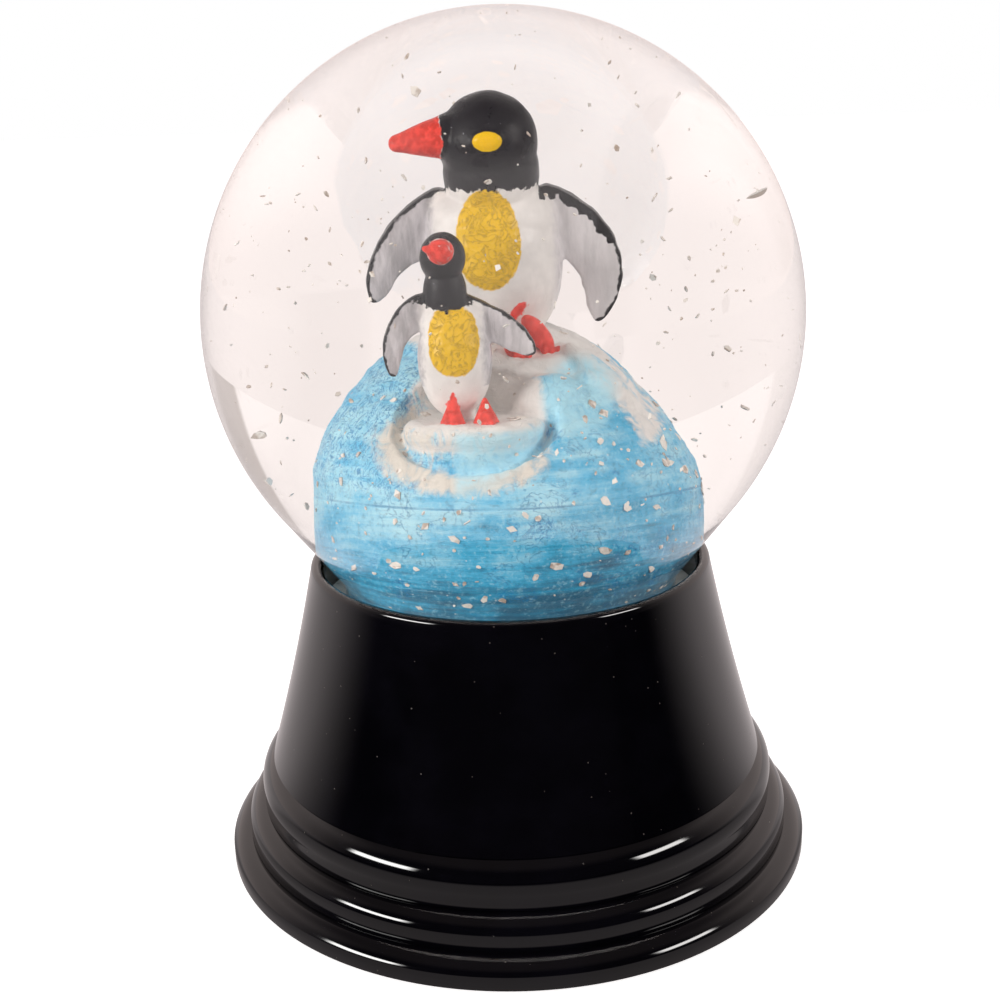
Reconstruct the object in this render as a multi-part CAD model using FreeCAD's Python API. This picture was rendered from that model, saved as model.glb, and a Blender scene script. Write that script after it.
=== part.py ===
"""Snow globe: a blown glass globe full of water on a moulded plinth, with two penguins on an ice hill.

Millimetres. +Z is up, the origin is at the centre of the underside, and the scene faces -Y.
"""
import FreeCAD, Part
import math
import os
import random

V = FreeCAD.Vector
UP = V(0, 0, 1)

# Glass globe
GLOBE_R = 22.5          # outer radius of the blown globe
GLASS_WALL = 1.0        # wall thickness of the glass
GLOBE_Z = 42.8          # height of the globe's centre
CONE_DROP = 13.5        # how far below the centre the sphere runs out into the neck's taper
NECK_R = 13.2           # outer radius of the neck
NECK_BLEND_R = 3.0      # outer radius between taper and neck
NECK_END_Z = 15.0       # open end of the neck

# Plinth
RIM_Z = 24.3            # top of the rim
RIM_R = 15.8           # outside of the rim
RIM_BORE_R = 15.0       # inside of the rim
RIM_BORE_DEPTH = 3.3    # straight part of the bore below the rim
BELL_MID = (17.3, 17.5)    # a point on the concave bell
BELL_FOOT = (19.85, 8.4)    # where the bell meets the first ring
SHELL_WALL = 1.4        # wall of the plinth at the rings
FOOT_Z = 0.4            # lower edge of the plinth
RING_R = (20.8, 22.1, 23.6)     # outside of the three rings, from the top down
RING_Z = (4.8, 2.4, FOOT_Z)     # lower edge of each ring
RING_FACE = 1.1         # height of each ring's upright face
RING_CREASE = 0.2       # depth of the crease over each ring

# Bottom closure
FELT_R = 20.8
FELT_T = 0.9
COVER_R = 21.3
COVER_T = 1.0
COVER_BORE_R = 21.4     # rebate in the foot that takes the cover

# Stopper, seal and plaster
FLANGE_R = 13.2
FLANGE_T = 2.0
SEAL_T = 0.6
STOPPER_TOP_Z = 20.0
STOPPER_CUP_R = 8.0
STOPPER_CUP_DEPTH = 4.5
PLASTER_TOP_Z = 20.5
PLASTER_LOW_Z = 13.9

# Painted scene
DRUM_R = 11.0
DRUM_TOP_Z = 33.0
SPIGOT_R = 3.0
SPIGOT_H = 1.5
SPIGOT_GAP = 0.1        # clearance round a glued spigot or peg
SCOOP = (-2.0, -6.6, 5.2, 35.6)         # x, y, radius and floor height of the hollow in the hill's front
LOW_LEDGE = (-1.9, -6.2, 3.5, 38.0)     # x, y, radius and top height of the small penguin's ledge
HIGH_LEDGE = (1.4, 0.4, 3.9, 41.0)      # the same for the large penguin's ledge
PEG_R = 0.9
PEG_LEN = 2.0

# Snow
FLAKE_T = 0.12          # thickness of a flake
FLAKE_R = (0.22, 0.5)   # smallest and largest flake radius
SWIRLING = 60           # flakes that only turn with the water
FALLING = 44            # flakes that also sink
SETTLED = 60            # flakes lying on the drum and the hill
SWIRL_CLEAR_R = 11.4    # the scene stays inside this radius as the flakes go round it
FALL_TRAVEL = 4.0       # how far the falling flakes sink
WALL_CLEAR = 0.5        # flakes stay this far from the glass


def revolve(edges):
    """Turn a closed outline in the XZ plane once round the Z axis."""
    face = Part.Face(Part.Wire(edges))
    return face.revolve(V(0, 0, 0), UP, 360)


def line(a, b):
    """Straight edge between two (radius, height) points."""
    return Part.makeLine(V(a[0], 0, a[1]), V(b[0], 0, b[1]))


def arc(a, mid, b):
    """Arc through three (radius, height) points."""
    points = [V(r, 0, z) for r, z in (a, mid, b)]
    return Part.Arc(*points).toShape()


def path(points):
    """Chain of straight edges through (radius, height) points."""
    return [line(a, b) for a, b in zip(points, points[1:])]


def on_circle(centre, radius, degrees):
    """(radius, height) of a point on a circle in the XZ plane."""
    turn = math.radians(degrees)
    return (centre[0] + radius * math.cos(turn), centre[1] + radius * math.sin(turn))


def globe_outline(inset):
    """Edges of the globe and its neck from the top down, moved inwards by inset."""
    radius = GLOBE_R - inset
    drop = math.degrees(math.asin(CONE_DROP / GLOBE_R))
    centre = (0, GLOBE_Z)
    top = (0, GLOBE_Z + radius)
    taper_start = on_circle(centre, radius, -drop)
    blend_z = GLOBE_Z - CONE_DROP
    slope = math.radians(90 - drop)
    run = (GLOBE_R * math.cos(math.radians(drop)) - NECK_R) / math.cos(slope)
    corner_z = blend_z - run * math.sin(slope)
    blend_centre = (NECK_R + NECK_BLEND_R, corner_z - NECK_BLEND_R * math.tan(math.radians(drop / 2)))
    blend_r = NECK_BLEND_R + inset
    taper_end = on_circle(blend_centre, blend_r, 180 - drop)
    neck_top = on_circle(blend_centre, blend_r, 180)
    return [
        arc(top, on_circle(centre, radius, (90 - drop) / 2), taper_start),
        line(taper_start, taper_end),
        arc(taper_end, on_circle(blend_centre, blend_r, 180 - drop / 2), neck_top),
    ], top, neck_top


def make_glass_globe():
    outer, outer_top, outer_neck = globe_outline(0)
    inner, inner_top, inner_neck = globe_outline(GLASS_WALL)
    outer_end = (outer_neck[0], NECK_END_Z)
    inner_end = (inner_neck[0], NECK_END_Z)
    ends = [line(outer_neck, outer_end), line(outer_end, inner_end), line(inner_end, inner_neck)]
    return revolve(outer + ends + inner[::-1] + [line(inner_top, outer_top)])


def inner_wall_r(z):
    """Radius of the plinth's inner wall between the rim's bore and the bell's foot."""
    top = RIM_Z - RIM_BORE_DEPTH
    share = (top - z) / (top - BELL_FOOT[1])
    return RIM_BORE_R + share * (BELL_FOOT[0] - SHELL_WALL - RIM_BORE_R)


def ring_edges(inner_r, top_z, ring_r, low_z):
    """Rounded top and upright face of one foot ring, from the crease above it down."""
    crease = (inner_r - RING_CREASE, top_z)
    shoulder = (ring_r, low_z + RING_FACE)
    mid = (crease[0] + 0.72 * (ring_r - crease[0]), shoulder[1] + 0.7 * (top_z - shoulder[1]))
    return [line((inner_r, top_z), crease), arc(crease, mid, shoulder), line(shoulder, (ring_r, low_z))]


def make_base_shell():
    lip = 0.35
    outline = [arc((RIM_BORE_R, RIM_Z - lip / 2), (0.5 * (RIM_R + RIM_BORE_R), RIM_Z), (RIM_R, RIM_Z - lip))]
    outline.append(arc((RIM_R, RIM_Z - lip), BELL_MID, BELL_FOOT))
    above = BELL_FOOT
    for ring_r, low_z in zip(RING_R, RING_Z):
        outline += ring_edges(above[0], above[1], ring_r, low_z)
        above = (ring_r, low_z)
    bore_low_z = RIM_Z - RIM_BORE_DEPTH
    rebate_z = FELT_T + COVER_T
    inside = [
        above,
        (COVER_BORE_R, FOOT_Z),
        (COVER_BORE_R, rebate_z),
        (RING_R[1] - SHELL_WALL, rebate_z),
        (RING_R[0] - SHELL_WALL, RING_Z[0]),
        (inner_wall_r(BELL_FOOT[1]), BELL_FOOT[1]),
        (RIM_BORE_R, bore_low_z),
        (RIM_BORE_R, RIM_Z - lip / 2),
    ]
    return revolve(outline + path(inside))


def make_felt_pad():
    return Part.makeCylinder(FELT_R, FELT_T)


def make_base_cover():
    return Part.makeCylinder(COVER_R, COVER_T, V(0, 0, FELT_T))


def make_neck_stopper():
    bore = NECK_R - GLASS_WALL
    flange_z = NECK_END_Z - SEAL_T
    low_z = flange_z - FLANGE_T
    cup_z = low_z + STOPPER_CUP_DEPTH
    socket_r = SPIGOT_R + SPIGOT_GAP
    socket_z = STOPPER_TOP_Z - SPIGOT_H - SPIGOT_GAP
    points = [
        (0, cup_z), (STOPPER_CUP_R, cup_z), (STOPPER_CUP_R + 0.6, low_z), (FLANGE_R, low_z),
        (FLANGE_R, flange_z), (bore, flange_z), (bore, STOPPER_TOP_Z - 0.5), (bore - 0.5, STOPPER_TOP_Z),
        (socket_r, STOPPER_TOP_Z), (socket_r, socket_z), (0, socket_z), (0, cup_z),
    ]
    return revolve(path(points))


def make_stopper_seal():
    bore = NECK_R - GLASS_WALL
    low = NECK_END_Z - SEAL_T
    ring = Part.makeCylinder(NECK_R, SEAL_T, V(0, 0, low))
    return ring.cut(Part.makeCylinder(bore, SEAL_T, V(0, 0, low)))


def make_plaster_seat():
    points = [
        (NECK_R, PLASTER_LOW_Z), (inner_wall_r(PLASTER_LOW_Z), PLASTER_LOW_Z),
        (inner_wall_r(PLASTER_TOP_Z), PLASTER_TOP_Z), (NECK_R, PLASTER_TOP_Z), (NECK_R, PLASTER_LOW_Z),
    ]
    return revolve(path(points))


def make_scene_drum():
    socket_r = SPIGOT_R + SPIGOT_GAP
    edge = 0.4
    points = [
        (0, STOPPER_TOP_Z - SPIGOT_H), (SPIGOT_R, STOPPER_TOP_Z - SPIGOT_H), (SPIGOT_R, STOPPER_TOP_Z),
        (DRUM_R, STOPPER_TOP_Z), (DRUM_R, DRUM_TOP_Z - edge), (DRUM_R - edge, DRUM_TOP_Z),
        (socket_r, DRUM_TOP_Z), (socket_r, DRUM_TOP_Z - SPIGOT_H - SPIGOT_GAP),
        (0, DRUM_TOP_Z - SPIGOT_H - SPIGOT_GAP), (0, STOPPER_TOP_Z - SPIGOT_H),
    ]
    return revolve(path(points))


def oval(x, y, z, across, deep):
    """Closed oval wire at height z, across wide on X and deep on Y, given as half widths."""
    points = []
    for step in range(12):
        turn = 2 * math.pi * step / 12
        points.append(V(x + across * math.cos(turn), y + deep * math.sin(turn), z))
    curve = Part.BSplineCurve()
    curve.interpolate(points, PeriodicFlag=True)
    return Part.Wire(curve.toShape())


def make_ice_hill():
    """Rounded hill with a hollow in its front, two ledges and a peg hole in each."""
    sections = [
        (0.0, 0.0, DRUM_TOP_Z, DRUM_R, DRUM_R),
        (-0.3, 0.2, 35.6, 10.4, 10.2),
        (-0.6, 0.9, 38.4, 8.4, 8.2),
        (-0.6, 1.8, 40.4, 6.6, 5.8),
        (-0.5, 2.4, 42.0, 3.6, 3.2),
    ]
    hill = Part.makeLoft([oval(*s) for s in sections], True, False)
    x, y, radius, floor = SCOOP
    hill = hill.cut(Part.makeCylinder(radius, 10, V(x, y, floor)))
    x, y, radius, top = HIGH_LEDGE
    hill = hill.cut(Part.makeCylinder(radius + 1.2, 10, V(x, y, top)))
    for x, y, radius, top in (LOW_LEDGE, HIGH_LEDGE):
        hill = hill.fuse(Part.makeCylinder(radius, top - SCOOP[3] + 0.5, V(x, y, SCOOP[3] - 0.5)))
    hill = hill.fuse(Part.makeCylinder(SPIGOT_R, SPIGOT_H, V(0, 0, DRUM_TOP_Z - SPIGOT_H)))
    for penguin in (LARGE, SMALL):
        x, y, z = penguin["stand"]
        hole = Part.makeCylinder(PEG_R + SPIGOT_GAP, PEG_LEN + SPIGOT_GAP, V(x, y, z - PEG_LEN - SPIGOT_GAP))
        hill = hill.cut(hole)
    return hill.removeSplitter()


# Penguins: where each stands, its sizes and where its flippers end
LARGE = {
    "stand": (-0.3, 1.0, 41.0), "body_r": 3.8, "neck_z": 8.8, "neck_r": 2.5,
    "head_r": 2.7, "head_z": 11.6, "head_x": -0.3, "beak": (-1, 0, 0), "beak_len": 3.4, "beak_r": 1.2,
    "flippers": (((-2.4, 7.9), (-5.2, 6.0), (-7.2, 2.9)), ((2.3, 7.9), (6.4, 5.2), (5.7, 1.9))),
    "flipper_w": 1.5, "flipper_t": 0.9, "feet": ((0.3, -1.9), (1.9, -1.6)), "foot": (0.75, 1.2, 0.7),
}
SMALL = {
    "stand": (-2.6, -6.0, 38.0), "body_r": 2.1, "neck_z": 6.2, "neck_r": 1.25,
    "head_r": 1.3, "head_z": 9.4, "head_x": -0.7, "beak": (0, -1, 0), "beak_len": 0.9, "beak_r": 0.75,
    "flippers": (((-1.3, 5.6), (-2.8, 4.7), (-3.8, 2.4)), ((1.3, 5.6), (3.0, 5.0), (4.3, 3.6))),
    "flipper_w": 0.9, "flipper_t": 0.7, "feet": ((-0.6, -1.2), (1.2, -1.2)), "foot": (0.5, 0.8, 0.5),
}


def flipper(penguin, points):
    """Flat curved flipper along three (x, height) points, rounded at its end."""
    half = penguin["flipper_w"] / 2
    root, bend, tip = (V(x, 0, z) for x, z in points)
    middle = Part.Arc(root, bend, tip)
    start, end = middle.FirstParameter, middle.LastParameter
    inner, outer = [], []
    for share, width in ((0, 0.8), (0.35, 1.15), (0.7, 1.0), (0.95, 0.45)):
        at = start + share * (end - start)
        point = middle.value(at)
        along = V(*middle.tangent(at)[0])
        side = along.cross(V(0, 1, 0)).normalize() * half * width
        outer.append(point + side)
        inner.append(point - side)
    outline = Part.BSplineCurve()
    outline.interpolate(outer + inner[::-1], PeriodicFlag=True)
    thick = penguin["flipper_t"]
    face = Part.Face(Part.Wire(outline.toShape()))
    face.translate(V(0, -thick / 2, 0))
    return face.extrude(V(0, thick, 0))


def make_penguin(penguin):
    """Standing penguin in one moulding with the peg that holds it."""
    body_r, neck_r, neck_z = penguin["body_r"], penguin["neck_r"], penguin["neck_z"]
    head = V(penguin["head_x"], 0, penguin["head_z"])
    side = Part.BSplineCurve()
    side.interpolate([V(body_r * 0.62, 0, 0), V(body_r, 0, neck_z * 0.32), V(body_r * 0.86, 0, neck_z * 0.72),
                      V(neck_r, 0, neck_z)])
    shape = revolve([side.toShape(), line((neck_r, neck_z), (0, neck_z)), line((0, neck_z), (0, 0)),
                     line((0, 0), (body_r * 0.62, 0))])
    shape = shape.fuse(Part.makeSphere(penguin["head_r"], head))
    neck_axis = V(head.x, 0, head.z - neck_z + 0.6)
    neck = Part.makeCone(neck_r * 0.98, penguin["head_r"] * 0.9, neck_axis.Length, V(0, 0, neck_z - 0.6), neck_axis)
    shape = shape.fuse(neck)
    beak_dir = V(*penguin["beak"])
    beak_at = head + beak_dir * penguin["head_r"] * 0.75
    shape = shape.fuse(Part.makeCone(penguin["beak_r"], 0.2, penguin["beak_len"], beak_at, beak_dir))
    for points in penguin["flippers"]:
        shape = shape.fuse(flipper(penguin, points))
    foot_w, foot_d, foot_h = penguin["foot"]
    for x, y in penguin["feet"]:
        shape = shape.fuse(Part.makeBox(2 * foot_w, 2 * foot_d, foot_h, V(x - foot_w, y - foot_d, 0)))
    shape = shape.fuse(Part.makeCylinder(PEG_R, PEG_LEN + 0.5, V(0, 0, -PEG_LEN)))
    shape.translate(V(*penguin["stand"]))
    return shape.removeSplitter()


def make_flake(chance, centre, lie_flat=False):
    """Thin plate with five or six uneven corners."""
    radius = chance.uniform(*FLAKE_R)
    corners = chance.choice((5, 6))
    points = []
    for step in range(corners):
        turn = 2 * math.pi * (step + chance.uniform(-0.25, 0.25)) / corners
        reach = radius * chance.uniform(0.7, 1.0)
        points.append(V(reach * math.cos(turn), reach * math.sin(turn), 0))
    face = Part.Face(Part.makePolygon(points + points[:1]))
    flake = face.extrude(UP * FLAKE_T)
    if not lie_flat:
        axis = V(chance.uniform(-1, 1), chance.uniform(-1, 1), chance.uniform(-1, 1))
        flake.rotate(V(0, 0, 0), axis, chance.uniform(0, 180))
    flake.translate(centre)
    return flake


def globe_room_r(z):
    """Radius that flakes may reach at height z."""
    drop = abs(z - GLOBE_Z)
    return math.sqrt((GLOBE_R - GLASS_WALL) ** 2 - drop ** 2) - WALL_CLEAR - FLAKE_R[1]


def make_drifting(count, seed, travel):
    """Flakes spread through the water round the scene, each with room to sink by travel."""
    chance = random.Random(seed)
    flakes, places = [], []
    while len(flakes) < count:
        z = chance.uniform(GLOBE_Z - 9.0 + travel, GLOBE_Z + 19.5)
        room = min(globe_room_r(z), globe_room_r(z - travel))
        over_scene = z - travel > LARGE["stand"][2] + LARGE["head_z"] + LARGE["head_r"] + 1.0
        nearest = 0.0 if over_scene else SWIRL_CLEAR_R + FLAKE_R[1]
        if room <= nearest:
            continue
        r = math.sqrt(chance.uniform(nearest ** 2, room ** 2))
        turn = chance.uniform(0, 2 * math.pi)
        centre = V(r * math.cos(turn), r * math.sin(turn), z)
        if any((centre - other).Length < 2.2 * FLAKE_R[1] for other in places):
            continue
        places.append(centre)
        flakes.append(make_flake(chance, centre))
    return flakes


def clear_of(flakes, others):
    """Flakes that meet none of the others while they sink by the full travel."""
    reach = 2.4 * FLAKE_R[1]
    kept = []
    for flake in flakes:
        centre = flake.BoundBox.Center
        blocked = False
        for other in others:
            place = other.BoundBox.Center
            beside = math.hypot(place.x - centre.x, place.y - centre.y)
            lower_by = centre.z - place.z
            if beside < reach and -reach < lower_by < FALL_TRAVEL + reach:
                blocked = True
        if not blocked:
            kept.append(flake)
    return kept


def make_settled():
    """Flakes lying round the foot of the scene on the stopper and on the drum's shoulder."""
    chance = random.Random(23)
    flakes, places = [], []
    bore = NECK_R - GLASS_WALL
    while len(flakes) < SETTLED:
        turn = chance.uniform(0, 2 * math.pi)
        r = 0.5 * (DRUM_R + bore)
        layer = chance.choice((0, 1, 2, 3))
        z = STOPPER_TOP_Z + 0.05 + layer * 0.4
        centre = V(r * math.cos(turn), r * math.sin(turn), z)
        if any((centre - other).Length < 2.1 * FLAKE_R[1] and abs(centre.z - other.z) < 0.2 for other in places):
            continue
        places.append(centre)
        flakes.append(make_flake(chance, centre, lie_flat=True))
    return flakes


def make_water(pieces):
    """The inside of the globe, less everything that stands or floats in it."""
    inner, top, neck_top = globe_outline(GLASS_WALL)
    bore = neck_top[0]
    lower = path([neck_top, (bore, STOPPER_TOP_Z - 0.5), (bore - 0.5, STOPPER_TOP_Z), (0, STOPPER_TOP_Z), top])
    water = revolve(inner + lower)
    for piece in pieces:
        water = water.cut(piece)
    return max(water.Solids, key=lambda solid: solid.Volume)


def main():
    swirling = make_drifting(SWIRLING, 5, 0.0)
    falling = clear_of(make_drifting(FALLING * 2, 11, FALL_TRAVEL), swirling)[:FALLING]
    settled = make_settled()
    nodes = {
        "base_shell": make_base_shell(),
        "felt_pad": make_felt_pad(),
        "base_cover": make_base_cover(),
        "plaster_seat": make_plaster_seat(),
        "neck_stopper": make_neck_stopper(),
        "stopper_seal": make_stopper_seal(),
        "glass_globe": make_glass_globe(),
        "scene_drum": make_scene_drum(),
        "ice_hill": make_ice_hill(),
        "large_penguin": make_penguin(LARGE),
        "small_penguin": make_penguin(SMALL),
        "settled_flakes": Part.makeCompound(settled),
        "swirling_flakes": Part.makeCompound(swirling),
        "falling_flakes": Part.makeCompound(falling),
    }
    scene = [nodes[name] for name in ("scene_drum", "ice_hill", "large_penguin", "small_penguin")]
    nodes["water_fill"] = make_water(scene + [Part.makeCompound(settled + swirling + falling)])
    os.makedirs("parts", exist_ok=True)
    for name, shape in nodes.items():
        shape.exportStep(f"parts/{name}.step")
        solids = shape.Solids
        print(name, len(solids), "solids", round(shape.Volume, 2), "mm3 valid", shape.isValid())


main()
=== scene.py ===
"""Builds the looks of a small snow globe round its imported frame: a blown glass ball full of water on a
turned gloss black plinth, with two hand-painted penguins on an ice hill and loose snow."""
import math
import random

import bmesh
import bpy
import numpy as np
from bpy.props import FloatProperty, FloatVectorProperty, IntProperty, PointerProperty
from mathutils import Euler, Matrix, Vector, noise
from mathutils.bvhtree import BVHTree


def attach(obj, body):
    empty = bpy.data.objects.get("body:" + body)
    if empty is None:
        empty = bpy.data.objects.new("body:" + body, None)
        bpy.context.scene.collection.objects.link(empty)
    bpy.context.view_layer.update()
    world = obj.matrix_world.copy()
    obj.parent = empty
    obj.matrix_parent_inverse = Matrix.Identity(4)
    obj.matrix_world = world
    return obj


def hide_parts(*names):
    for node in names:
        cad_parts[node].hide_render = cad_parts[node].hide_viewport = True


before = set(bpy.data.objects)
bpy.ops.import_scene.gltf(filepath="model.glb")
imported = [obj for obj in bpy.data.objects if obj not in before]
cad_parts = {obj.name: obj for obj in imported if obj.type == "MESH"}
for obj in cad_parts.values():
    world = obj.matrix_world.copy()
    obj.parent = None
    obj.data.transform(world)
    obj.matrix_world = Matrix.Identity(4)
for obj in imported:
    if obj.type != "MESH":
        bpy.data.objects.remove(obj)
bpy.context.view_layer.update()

bl_info = {
    "name": "Penguin Snow Globe",
    "version": (1, 0, 0),
    "blender": (4, 5, 0),
    "location": "3D View > Sidebar > Snow Globe",
    "description": "Water globe with painted penguins on a gloss black plinth",
    "category": "Object",
}

MM = 0.001
# Heights, reaches and places, in millimetres.
SCENE_RISE = 1.0      # the scene is modelled on a drum whose top is at 32 mm, and raised by this much
GLOBE_MID = 42.8      # height of the globe's centre
DRIFT_REACH = 20.6    # flakes drift within this distance of the globe's centre
DRIFT_LOW = 27.5      # and no lower than this
SCENE_REACH = 11.75   # they keep this far from the globe's axis beside the scene
SCENE_TOP = 56.7      # which ends at this height
FALL_TRAVEL = 4.0     # how far the falling flakes sink
CHIP_THICK = 0.06     # thickness of a flake
RINGS = ((20.8, 4.8), (22.1, 2.4), (23.6, 0.4))      # foot rings: radius and lower edge
BELL_MIDDLE, BELL_FOOT = (17.3, 17.5), (19.85, 8.4)  # radius and height
# Hill sections: centre x, centre y, height, radius in x, radius in y.
HILL_SECTIONS = ((0, 0, 31.6, 10.98, 10.98), (0, 0, 32, 11, 11), (-0.15, 0.1, 33.2, 10.85, 10.75),
                 (-0.3, 0.2, 34.6, 10.3, 10.2), (-0.45, 0.5, 36.0, 9.5, 9.4), (-0.6, 0.9, 37.4, 8.4, 8.2),
                 (-0.6, 1.4, 38.6, 7.3, 7.0), (-0.6, 1.8, 39.5, 6.2, 5.7), (-0.5, 2.2, 40.5, 4.6, 4.0),
                 (-0.5, 2.4, 41.0, 3.2, 2.8))
# Hollows cut in the hill: centre, radii, turn in degrees.
HILL_SCOOPS = (((-2.0, -7.9, 37.8), (5.5, 5.0, 4.1), (0, 0, 0)), ((-5.6, -7.4, 37.6), (1.9, 2.2, 2.4), (0, 0, 0)),
               ((4.0, -8.4, 37.9), (2.6, 2.2, 1.5), (0, 25, 20)))
WHITE_RIDGE = [(3.0, 40.9), (4.6, 39.9), (6.1, 38.5), (7.5, 36.9), (8.4, 35.6)]  # (x, height) from the front
# How the camera is turned once it faces the globe's centre: degrees, and the axis of its own it turns about.
CAMERA_TURNS = ((0.352, "up"), (-7.63, "right"), (1.728, "ahead"))


# ---------------------------------------------------------------- settings

def size_setting(name, description, millimetres):
    return FloatProperty(name=name, description=description, default=millimetres * MM, unit="LENGTH")


def colour_setting(name, description, colour):
    return FloatVectorProperty(name=name, description=description, subtype="COLOR", default=colour)


def count_setting(name, description, count):
    return IntProperty(name=name, description=description, default=count, min=1)


class GlassSettings(bpy.types.PropertyGroup):
    """Sizes of the blown globe, its water and its neck."""
    radius: size_setting("Radius", "Outside of the globe", 22.5)
    wall: size_setting("Wall", "Thickness of the glass", 1.0)
    centre: size_setting("Centre height", "Height of the globe's centre", GLOBE_MID)
    drop: size_setting("Taper start", "How far under the centre the ball runs into its taper", 13.5)
    neck: size_setting("Neck radius", "Outside of the neck", 13.2)
    neck_end: size_setting("Neck end", "Height of the open end of the neck", 15.0)
    floor: size_setting("Water floor", "Height of the stopper's top, where the water ends", 19.95)


class PlinthSettings(bpy.types.PropertyGroup):
    """Sizes and colours of the plinth and its closure."""
    rim_height: size_setting("Rim height", "Top of the rim", 24.3)
    rim_radius: size_setting("Rim radius", "Outside of the rim", 15.8)
    bore: size_setting("Bore radius", "Inside of the rim", 15.0)
    lacquer: colour_setting("Lacquer", "Gloss black of the plinth", (0.0008, 0.0007, 0.0013))
    felt: colour_setting("Felt", "Pad under the foot", (0.02, 0.02, 0.022))
    card: colour_setting("Card", "Cover board over the hollow foot", (0.28, 0.245, 0.20))


class IceSettings(bpy.types.PropertyGroup):
    """Colours of the painted hill and drum."""
    pale: colour_setting("Pale blue", "Thin blue wash", (0.50, 0.86, 1.0))
    blue: colour_setting("Blue", "Main blue of the drum", (0.055, 0.50, 0.82))
    # Deep blue also paints the shade at the drum's foot.
    deep: colour_setting("Deep blue", "Brush lines and the drum's foot", (0.04, 0.17, 0.29))
    white: colour_setting("White", "Snow-white paint on the ledges", (0.95, 0.91, 0.88))
    # Cream paints the shade in the hollow under the slab.
    cream: colour_setting("Cream", "Bare resin in the hollow", (0.84, 0.78, 0.70))


class PenguinSettings(bpy.types.PropertyGroup):
    """Colours of the two penguins."""
    white: colour_setting("White", "Belly and sides", (0.96, 0.91, 0.885))
    black: colour_setting("Black", "Head, back and wing edges", (0.007, 0.007, 0.011))
    grey: colour_setting("Grey", "Front of the wings", (0.50, 0.47, 0.49))
    yellow: colour_setting("Yellow", "Bibs and eye", (1.0, 0.60, 0.010))
    ochre: colour_setting("Ochre", "Dry brush lines in the yellow", (0.55, 0.32, 0.01))
    red: colour_setting("Red", "Beaks and feet", (0.90, 0.055, 0.035))


class SnowSettings(bpy.types.PropertyGroup):
    """How much snow there is."""
    seed: IntProperty(name="Seed", description="Order of the flakes", default=11, min=0)
    swirling: count_setting("Swirling", "Flakes that turn with the water", 330)
    falling: count_setting("Falling", "Flakes that also sink", 150)
    settled: count_setting("Settled", "Flakes lying on the hill and drum", 330)
    snow: colour_setting("Snow", "Lightest flakes", (0.90, 0.84, 0.78))
    tan: colour_setting("Tan", "Darker flakes", (0.50, 0.39, 0.32))


class StageSettings(bpy.types.PropertyGroup):
    """Camera and light."""
    lens: FloatProperty(name="Lens", description="Focal length in millimetres", default=48.6, min=1)
    distance: size_setting("Distance", "Camera to the globe's centre", 103.57)
    elevation: FloatProperty(name="Elevation", description="Camera above the globe's centre",
                             default=math.radians(8.937), subtype="ANGLE")
    left: FloatProperty(name="Left box", description="Radiance of the left soft box", default=26.0, min=0)
    right: FloatProperty(name="Right box", description="Radiance of the right soft box", default=18.0, min=0)
    sky: FloatProperty(name="Fill", description="Even light from all round", default=0.50, min=0)


# ---------------------------------------------------------------- shapes

def arc_points(start, middle, stop, count):
    """Points along the arc through three (radius, height) points."""
    (ax, ay), (bx, by), (cx, cy) = start, middle, stop
    d = 2 * (ax * (by - cy) + bx * (cy - ay) + cx * (ay - by))
    a2, b2, c2 = ax * ax + ay * ay, bx * bx + by * by, cx * cx + cy * cy
    ux = (a2 * (by - cy) + b2 * (cy - ay) + c2 * (ay - by)) / d
    uy = (a2 * (cx - bx) + b2 * (ax - cx) + c2 * (bx - ax)) / d
    r = math.hypot(ax - ux, ay - uy)
    first = math.atan2(ay - uy, ax - ux)
    half = first + math.remainder(math.atan2(by - uy, bx - ux) - first, math.tau)
    last = half + math.remainder(math.atan2(cy - uy, cx - ux) - half, math.tau)
    turns = (first + (last - first) * i / count for i in range(count + 1))
    return [(ux + r * math.cos(t), uy + r * math.sin(t)) for t in turns]


def chain(*runs):
    """One outline from several runs of points, without repeats."""
    outline = []
    for point in (p for run in runs for p in run):
        if not outline or math.dist(point, outline[-1]) > 1e-4:
            outline.append(point)
    return outline


def softened(outline, rounds=2):
    """Closed outline with its corners cut again and again, until it runs smoothly."""
    for _ in range(rounds):
        cut = []
        for (ax, ay), (bx, by) in zip(outline, outline[1:] + outline[:1]):
            cut += [(0.75 * ax + 0.25 * bx, 0.75 * ay + 0.25 * by), (0.25 * ax + 0.75 * bx, 0.25 * ay + 0.75 * by)]
        outline = cut
    return outline


def turned(outline, steps, closed=True):
    """Bmesh of an outline in (radius, height) millimetres spun once round the Z axis."""
    bm = bmesh.new()
    verts = [bm.verts.new((r, 0, z)) for r, z in outline]
    edges = [bm.edges.new(pair) for pair in zip(verts, verts[1:])]
    if closed:
        edges.append(bm.edges.new((verts[-1], verts[0])))
    bmesh.ops.spin(bm, geom=verts + edges, cent=(0, 0, 0), axis=(0, 0, 1), angle=math.tau, steps=steps,
                   use_merge=True)
    bmesh.ops.remove_doubles(bm, verts=bm.verts, dist=1e-4)
    bmesh.ops.dissolve_degenerate(bm, edges=bm.edges, dist=1e-5)
    bmesh.ops.recalc_face_normals(bm, faces=bm.faces)
    return bm


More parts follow.
